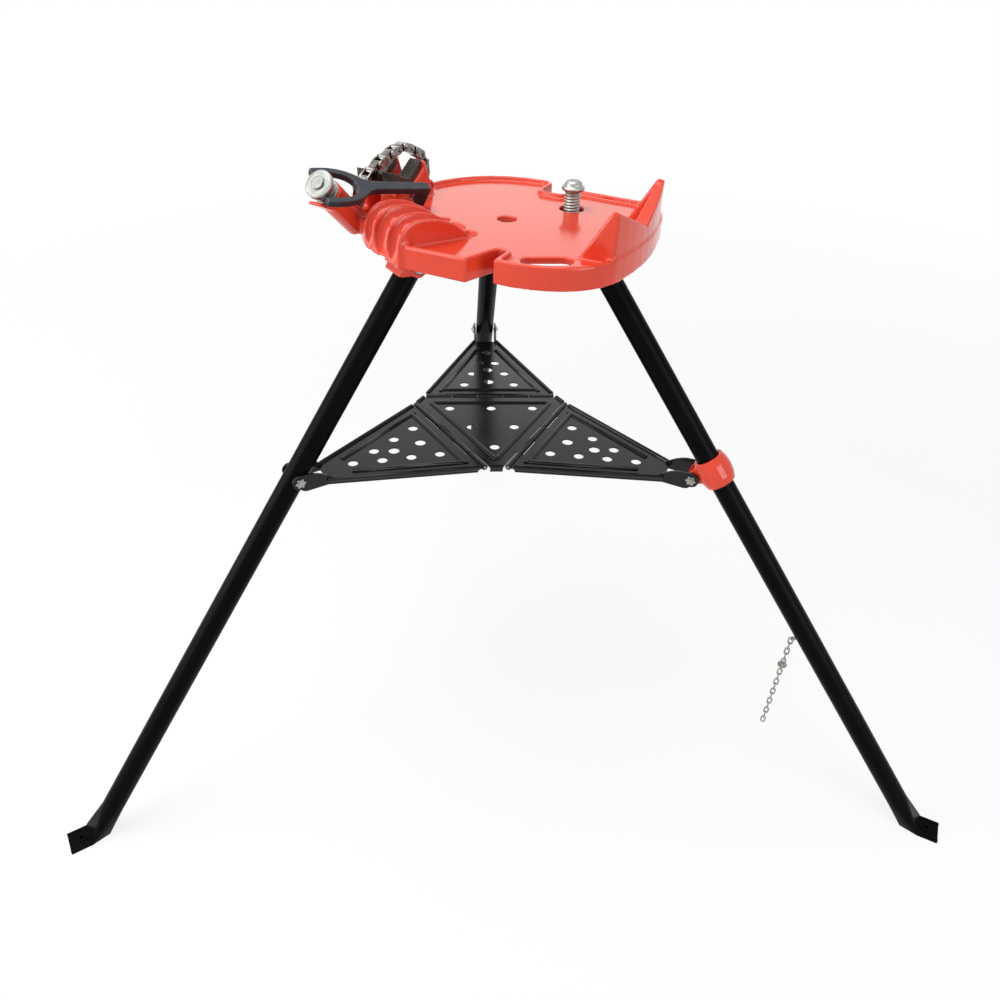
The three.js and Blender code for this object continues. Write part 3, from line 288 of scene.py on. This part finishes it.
def dress(obj, material):
    """The object all in one material and shaded smooth."""
    obj.data.materials.clear()
    obj.data.materials.append(material)
    for face in obj.data.polygons:
        face.use_smooth = True


def baked(obj):
    """The object's mesh with its modifiers worked in."""
    bpy.context.view_layer.update()
    settled = obj.evaluated_get(bpy.context.evaluated_depsgraph_get())
    whole = bpy.data.meshes.new_from_object(settled)
    obj.modifiers.clear()
    obj.data = whole


def cast_form(name, node, body, voxel, rounds, keep):
    """A casting: the node's solid with every edge rounded by the mould."""
    obj = bpy.data.objects.new(name, nodes[node].data.copy())
    scene.collection.objects.link(obj)
    if "custom_normal" in obj.data.attributes:
        obj.data.attributes.remove(obj.data.attributes["custom_normal"])
    remesh = obj.modifiers.new("skin", "REMESH")
    remesh.mode = "VOXEL"
    remesh.voxel_size = voxel
    soften = obj.modifiers.new("soften", "SMOOTH")
    soften.factor = 0.5
    soften.iterations = rounds
    thin = obj.modifiers.new("thin", "DECIMATE")
    thin.ratio = keep
    baked(obj)
    even = obj.modifiers.new("even", "WEIGHTED_NORMAL")
    even.weight = 80
    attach(obj, body)
    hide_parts(node)
    return obj


# The paler edge colour of the enamel is a painted highlight, standing in for the lamps catching the
# rounded edges.
red_enamel = finish(
    "red_enamel",
    light=(0.74, 0.060, 0.026), dark=(0.68, 0.050, 0.021), edge_wear_and_sheen_colour=(0.80, 0.12, 0.06),
    rough=(0.12, 0.18), metallic=0.0, specular=0.38,
    grain=320, patch=14, bump=0.03, edge_wear_and_sheen_amount=0.25)
table = cast_form("cast_table", "vise_table", "table", voxel=0.0016, rounds=7, keep=0.4)
dress(table, red_enamel)

# Jaws: two hardened steel vees with cut teeth, each held in the vise bed by a cross pin.
# The teeth tops are worn bright.
WELD_GAP = 0.00002
FLAT_DEGREES = 0.6
JAW_EDGE, JAW_DEGREES = 0.0004, 50
PIN_EDGE = 0.0004


def crisp(node, width, material, angle=35):
    """A machined piece: the node itself with its edges broken and its round faces smooth."""
    obj = nodes[node]
    if "custom_normal" in obj.data.attributes:
        obj.data.attributes.remove(obj.data.attributes["custom_normal"])
    weld = obj.modifiers.new("weld", "WELD")
    weld.merge_threshold = WELD_GAP
    flat = obj.modifiers.new("flat", "DECIMATE")
    flat.decimate_type = "DISSOLVE"
    flat.angle_limit = math.radians(FLAT_DEGREES)
    if width:
        edge = obj.modifiers.new("edge", "BEVEL")
        edge.width = width
        edge.segments = 2
        edge.limit_method = "ANGLE"
        edge.angle_limit = math.radians(angle)
        edge.harden_normals = True
        edge.use_clamp_overlap = True
    dress(obj, material)


jaw_steel = finish(
    "jaw_steel",
    light=(0.050, 0.043, 0.034), dark=(0.020, 0.017, 0.014), edge_wear_and_sheen_colour=(0.26, 0.24, 0.20),
    rough=(0.36, 0.55), metallic=0.6, grain=420, patch=60, bump=0.12, edge_wear_and_sheen_amount=0.6)
for node in ("jaw_near", "jaw_far"):
    crisp(node, JAW_EDGE, jaw_steel, JAW_DEGREES)
forged_steel = finish(
    "forged_steel",
    light=(0.030, 0.034, 0.044), dark=(0.016, 0.018, 0.025), edge_wear_and_sheen_colour=(0.20, 0.21, 0.23),
    rough=(0.30, 0.44), metallic=0.35, grain=260, patch=45, bump=0.14, edge_wear_and_sheen_amount=0.7)
for node in ("jaw_pin_near", "jaw_pin_far", "chain_anchor_pin"):
    crisp(node, PIN_EDGE, forged_steel)

# Tension screw: a hooked rod through the barrel, a grooved zinc nut and its washer, and a forged
# fork handle that turns the nut.
HOOK_EDGE, NUT_EDGE, WASHER_EDGE = 0.0005, 0.0002, 0.0004
BORE_R = 7.8
NUT_PROFILE = [
    (BORE_R, 0.9), (9.4, 0.9), (10.2, 0), (14.9, 0), (15.2, 0.35), (15.6, 0.35), (15.9, 0), (17.1, 0),
    (18.5, 1.4), (18.5, 6), (11, 6), (11, 13), (15, 13), (15, 18), (BORE_R, 18), (BORE_R, 0.9),
]
WASHER_PROFILE = [(BORE_R, 18.3), (16.5, 18.3), (16.5, 20.8), (BORE_R, 20.8), (BORE_R, 18.3)]
bright_zinc = finish(
    "bright_zinc",
    light=(0.38, 0.385, 0.36), dark=(0.28, 0.285, 0.27), edge_wear_and_sheen_colour=(0.50, 0.50, 0.47),
    rough=(0.32, 0.46), metallic=1.0, grain=500, patch=110, bump=0.06, edge_wear_and_sheen_amount=0.5)
crisp("chain_hook", HOOK_EDGE, bright_zinc)


def turned(name, profile, place, axis, sides=72):
    """A turned piece: (radius, height) pairs in mm, spun round an axis from a place."""
    bm = bmesh.new()
    turn = Vector(axis).to_track_quat("Z", "Y").to_matrix().to_4x4()
    rings = []
    for radius, height in profile:
        ring = []
        for step in range(sides if radius else 1):
            angle = 2 * math.pi * step / sides
            spot = Vector((radius * math.cos(angle), radius * math.sin(angle), height)) / 1000
            ring.append(bm.verts.new(place + turn @ spot))
        rings.append(ring)
    for low, high in zip(rings, rings[1:]):
        for step in range(sides):
            after = (step + 1) % sides
            below = [low[step % len(low)], low[after % len(low)]]
            above = [high[after % len(high)], high[step % len(high)]]
            bm.faces.new(list(dict.fromkeys(below + above)))
    bmesh.ops.remove_doubles(bm, verts=bm.verts, dist=1e-7)
    bmesh.ops.recalc_face_normals(bm, faces=bm.faces)
    mesh = bpy.data.meshes.new(name)
    bm.to_mesh(mesh)
    bm.free()
    obj = bpy.data.objects.new(name, mesh)
    scene.collection.objects.link(obj)
    return obj


def broken_edges(obj, width, angle=30):
    """The object with its corners sharper than the angle rounded off."""
    edge = obj.modifiers.new("edge", "BEVEL")
    edge.width = width
    edge.segments = 3
    edge.limit_method = "ANGLE"
    edge.angle_limit = math.radians(angle)
    edge.harden_normals = True


joints = {joint["name"]: joint for joint in frame["joints"]}
nut_place = Vector(joints["nut_turn"]["pos_m"])
nut_axis = -Vector(joints["nut_turn"]["axis"])
nut = turned("grooved_nut", NUT_PROFILE, nut_place, nut_axis)
broken_edges(nut, NUT_EDGE)
dress(nut, bright_zinc)
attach(nut, "nut")
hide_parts("tension_nut")
washer = turned("nut_washer", WASHER_PROFILE, nut_place, nut_axis)
broken_edges(washer, WASHER_EDGE)
dress(washer, bright_zinc)
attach(washer, "table")
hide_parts("thrust_washer")
handle = cast_form("forged_handle", "handle", "handle", voxel=0.0007, rounds=12, keep=0.5)
dress(handle, forged_steel)

# Ceiling brace: a zinc screw in a tapped boss at the back of the table, with a rolled thread.
# Its turned cap sits loose on the neck, so that it grips a beam while the screw turns.
BRACE_R, THREAD_DEPTH, THREAD_PITCH = 11.5, 1.6, 4
THREAD_LOW, THREAD_HIGH = 20, 64
THREAD_STEPS, THREAD_SHARPNESS, THREAD_END = 8, 1.2, 0.25
CAP_PROFILE = [
    (0, 6.3), (6.3, 6.3), (6.3, 0), (14.4, 0), (16, 1.6), (16, 3.6), (15.2, 4.8), (12.9, 5.9),
    (12.2, 8.4), (11.4, 10.4), (9.8, 12), (7.2, 13.1), (3.6, 13.8), (0, 14),
]


def threaded(name, place, radius, depth, pitch, low, high, sides=40):
    """A screw standing on Z, in mm: a plain shank up to low, then a rolled thread up to high."""
    bm = bmesh.new()
    count = round((high - low) / pitch * THREAD_STEPS)
    rings = []
    heights = [0, low] + [low + (high - low) * i / count for i in range(1, count + 1)]
    for height in heights:
        ring = []
        for step in range(sides):
            angle = 2 * math.pi * step / sides
            phase = ((height - low) / pitch - step / sides) % 1
            run_in = max(0, (height - low) / pitch)
            run_out = max(0, (high - height) / pitch + THREAD_END)
            fade = min(1, run_in, run_out)
            r = radius - fade * depth * (1 - abs(2 * phase - 1)) ** THREAD_SHARPNESS
            spot = Vector((r * math.cos(angle), r * math.sin(angle), height)) / 1000
            ring.append(bm.verts.new(place + spot))
        rings.append(ring)
    for lower, upper in zip(rings, rings[1:]):
        for step in range(sides):
            after = (step + 1) % sides
            bm.faces.new((lower[step], lower[after], upper[after], upper[step]))
    bm.faces.new(rings[0][::-1])
    bm.faces.new(rings[-1])
    mesh = bpy.data.meshes.new(name)
    bm.to_mesh(mesh)
    bm.free()
    obj = bpy.data.objects.new(name, mesh)
    scene.collection.objects.link(obj)
    return obj


brace_low, brace_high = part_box("brace_screw")
brace_place = Vector(((brace_low.x + brace_high.x) / 2, (brace_low.y + brace_high.y) / 2, brace_low.z))
brace = threaded(
    "brace_thread", brace_place, BRACE_R, THREAD_DEPTH, THREAD_PITCH, THREAD_LOW, THREAD_HIGH)
dress(brace, bright_zinc)
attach(brace, "brace_screw")
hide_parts("brace_screw")
cap_place = Vector((brace_place.x, brace_place.y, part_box("brace_cap")[0].z))
cap = turned("brace_cap_turned", CAP_PROFILE, cap_place, (0, 0, 1), sides=48)
dress(cap, bright_zinc)
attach(cap, "brace_cap")
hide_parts("brace_cap")

# Vise chain: bare steel links on pins, alternately a solid block and a pair of plates.
# It is pinned behind the far jaw, runs over the pipe and drops into the screw's hook.
LINKS, LINK_EDGE = 14, 0.0005
chain_steel = finish(
    "chain_steel",
    light=(0.29, 0.275, 0.26), dark=(0.10, 0.092, 0.088), edge_wear_and_sheen_colour=(0.66, 0.64, 0.61),
    rough=(0.14, 0.30), metallic=1.0, grain=380, patch=90, bump=0.08, edge_wear_and_sheen_amount=0.9)
for count in range(1, LINKS + 1):
    crisp(f"chain_link_{count:02d}", LINK_EDGE, chain_steel)

# Legs: steel tubes in black paint, each pressed flat at the foot and bent outward there.
# The foot is a shallow channel with a nail hole, and the top is pinned in a yoke under the table.
LEG_EDGE, LEG_DEGREES = 0.0006, 40
leg_paint = finish(
    "leg_paint",
    light=(0.0028, 0.0029, 0.0031), dark=(0.0020, 0.0021, 0.0022), edge_wear_and_sheen_colour=(0.03, 0.03, 0.03),
    rough=(0.24, 0.34), metallic=0.0, specular=0.03, grain=300, patch=16, bump=0.05, edge_wear_and_sheen_amount=0.25)
for leg in ("rear", "back", "front"):
    crisp(f"leg_{leg}", LEG_EDGE, leg_paint, LEG_DEGREES)
    crisp(f"leg_pin_{leg}", LEG_EDGE, bright_zinc)

# Tray: a pressed steel centre and three wings on wire hinges, in glossier black paint than the legs.
# A round ridge is pressed up round each panel, and the edges are rolled into beads.
SHEET_EDGE, WIRE_EDGE = 0.0005, 0.0003
RIDGE_HALF, RIDGE_RISE, RIDGE_ROOT = 4.2, 2.9, -0.4
RIDGE_STEPS, BEND_STEPS = 8, 6
HINGE_OUT, SHEET_HALF = 0.080, 0.001
CENTRE_CORNER, CENTRE_BEND = 113, 7
WING_CORNERS, WING_BEND = ((168, 18), (20.5, 79.7), (20.5, -79.7), (168, -18)), 6


def rounded(corners, radius, closed):
    """The corners in mm, each turned into a short curve."""
    path = []
    count = len(corners)
    for index, corner in enumerate(corners):
        if not closed and index in (0, count - 1):
            path.append(corner)
            continue
        into = (corners[index - 1] - corner).normalized() * radius
        on = (corners[(index + 1) % count] - corner).normalized() * radius
        for step in range(BEND_STEPS + 1):
            t = step / BEND_STEPS
            path.append(corner + into * (1 - t) ** 2 + on * t ** 2)
    return path


def pressed_ridge(name, path, closed, place, body):
    """A half-round ridge on a sheet, along a path in mm in the sheet's own plane."""
    bm = bmesh.new()
    count = len(path)
    rings = []
    for index, spot in enumerate(path):
        before = path[index - 1] if closed or index else spot
        after = path[(index + 1) % count] if closed or index < count - 1 else spot
        ahead = (after - before).normalized()
        aside = Vector((-ahead.y, ahead.x))
        ring = []
        for step in range(RIDGE_STEPS + 1):
            angle = math.pi * step / RIDGE_STEPS
            away = spot + aside * RIDGE_HALF * math.cos(angle)
            rise = RIDGE_RISE * math.sin(angle) if 0 < step < RIDGE_STEPS else RIDGE_ROOT
            ring.append(bm.verts.new(place @ (Vector((away.x, away.y, rise)) / 1000)))
        rings.append(ring)
    for index in range(count if closed else count - 1):
        now, after = rings[index], rings[(index + 1) % count]
        for step in range(RIDGE_STEPS + 1):
            following = (step + 1) % (RIDGE_STEPS + 1)
            bm.faces.new((now[step], now[following], after[following], after[step]))
    if not closed:
        bm.faces.new(rings[0])
        bm.faces.new(rings[-1])
    bmesh.ops.recalc_face_normals(bm, faces=bm.faces)
    mesh = bpy.data.meshes.new(name)
    bm.to_mesh(mesh)
    bm.free()
    obj = bpy.data.objects.new(name, mesh)
    scene.collection.objects.link(obj)
    dress(obj, black_paint)
    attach(obj, body)


black_paint = finish(
    "black_paint",
    light=(0.0055, 0.0058, 0.006), dark=(0.0035, 0.0037, 0.004), edge_wear_and_sheen_colour=(0.03, 0.03, 0.03),
    rough=(0.18, 0.26), metallic=0.0, specular=0.3, grain=300, patch=16, bump=0.05, edge_wear_and_sheen_amount=0.25)
tray_low, tray_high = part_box("hinge_wire_rear")
sheet_top = (tray_low.z + tray_high.z) / 2 + SHEET_HALF
tray_axis = Vector((tray_low.x / 2 + tray_high.x / 2 - HINGE_OUT, 0, sheet_top))
crisp("tray_center", SHEET_EDGE, black_paint)
centre_corners = []
for turn in (60, 180, 300):
    heading = math.radians(turn)
    centre_corners.append(CENTRE_CORNER * Vector((math.cos(heading), math.sin(heading))))
centre_path = rounded(centre_corners, CENTRE_BEND, closed=True)
pressed_ridge("centre_ridge", centre_path, True, Matrix.Translation(tray_axis), "tray_center")
wing_path = rounded([Vector(spot) for spot in WING_CORNERS], WING_BEND, closed=False)
for leg, turn in (("rear", 0), ("back", 120), ("front", 240)):
    crisp(f"tray_wing_{leg}", SHEET_EDGE, black_paint)
    crisp(f"hinge_wire_{leg}", WIRE_EDGE, bright_zinc)
    hinge = Matrix.Translation(tray_axis) @ Matrix.Rotation(math.radians(turn), 4, "Z")
    hinge = hinge @ Matrix.Translation((HINGE_OUT, 0, 0))
    pressed_ridge(f"wing_ridge_{leg}", wing_path, False, hinge, f"wing_{leg}")
crisp("collar_pin", WIRE_EDGE, bright_zinc)
for leg in ("back", "front"):
    for side in (1, 2):
        crisp(f"tray_stud_{leg}_{side}", WIRE_EDGE, bright_zinc)

# Collar: a cast ring in red enamel that slides on the rear leg.
# The rear wing's pin passes through its lug, so it tilts as the stand folds.
collar = cast_form("cast_collar", "collar", "collar", voxel=0.0006, rounds=6, keep=0.5)
# The red enamel paints a paler highlight along the collar's edges too.
dress(collar, red_enamel)

# Tie chain: a zinc staple in the rear leg and a short chain of bent wire links with a round tag.
# It holds the folded legs together, and hangs free while the stand is open.
TIE_LENGTH, TIE_RING, TIE_WIRE, TIE_COUNT = 13.4, 3.0, 1.1, 17
TIE_STEP = TIE_LENGTH - 1.6 * TIE_WIRE
TIE_BENDS, TIE_EDGE, TIE_DEGREES = 20, 0.0004, 60
TAG_LINK, TAG_R, TAG_THICK = 4.6, 0.007, 0.0024


def wire_loop(bm, points, wire, sides=8):
    """A closed ring of round wire through the points, all in mm."""
    rings = []
    count = len(points)
    for index, point in enumerate(points):
        ahead = (points[(index + 1) % count] - points[index - 1]).normalized()
        if rings:
            across = (across - ahead * across.dot(ahead)).normalized()
        else:
            across = ahead.orthogonal().normalized()
        up = ahead.cross(across)
        ring = []
        for step in range(sides):
            angle = 2 * math.pi * step / sides
            spot = point + wire * (math.cos(angle) * across + math.sin(angle) * up)
            ring.append(bm.verts.new(spot / 1000))
        rings.append(ring)
    for index in range(count):
        now, after = rings[index], rings[(index + 1) % count]
        for step in range(sides):
            following = (step + 1) % sides
            bm.faces.new((now[step], now[following], after[following], after[step]))


dull_wire = finish(
    "dull_wire",
    light=(0.36, 0.35, 0.32), dark=(0.20, 0.19, 0.17), edge_wear_and_sheen_colour=(0.55, 0.54, 0.50),
    rough=(0.30, 0.45), metallic=1.0, grain=500, patch=120, bump=0.06, edge_wear_and_sheen_amount=0.4)
crisp("tie_staple", 0, dull_wire)
straight = TIE_LENGTH / 2 - TIE_RING
bm = bmesh.new()
for count in range(TIE_COUNT):
    middle = -straight - count * TIE_STEP
    turn = Matrix.Rotation((count % 2) * math.pi / 2 + math.pi / 2, 3, "Z")
    loop = []
    for step in range(TIE_BENDS):
        angle = 2 * math.pi * (step + 0.5) / TIE_BENDS
        rise = TIE_RING * math.sin(angle) + math.copysign(straight, math.sin(angle))
        aside = turn @ Vector((0, TIE_RING * math.cos(angle), 0))
        loop.append(aside + Vector((0, 0, middle + rise)))
    wire_loop(bm, loop, TIE_WIRE)
tag_mid = -straight - TAG_LINK * TIE_STEP
tag = bmesh.ops.create_cone(
    bm, cap_ends=True, segments=32, radius1=TAG_R, radius2=TAG_R, depth=TAG_THICK)
bmesh.ops.rotate(bm, verts=tag["verts"], matrix=Matrix.Rotation(math.pi / 2, 3, "X"))
bmesh.ops.translate(bm, verts=tag["verts"], vec=(0, 0, tag_mid / 1000))
bmesh.ops.recalc_face_normals(bm, faces=bm.faces)
tie_mesh = bpy.data.meshes.new("tie_links")
bm.to_mesh(tie_mesh)
bm.free()
tie_links = bpy.data.objects.new("tie_links", tie_mesh)
tie_links.location = Vector(joints["tie_chain_swing"]["pos_m"])
scene.collection.objects.link(tie_links)
dress(tie_links, dull_wire)
broken_edges(tie_links, TIE_EDGE, TIE_DEGREES)
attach(tie_links, "tie_chain")
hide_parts("tie_chain")
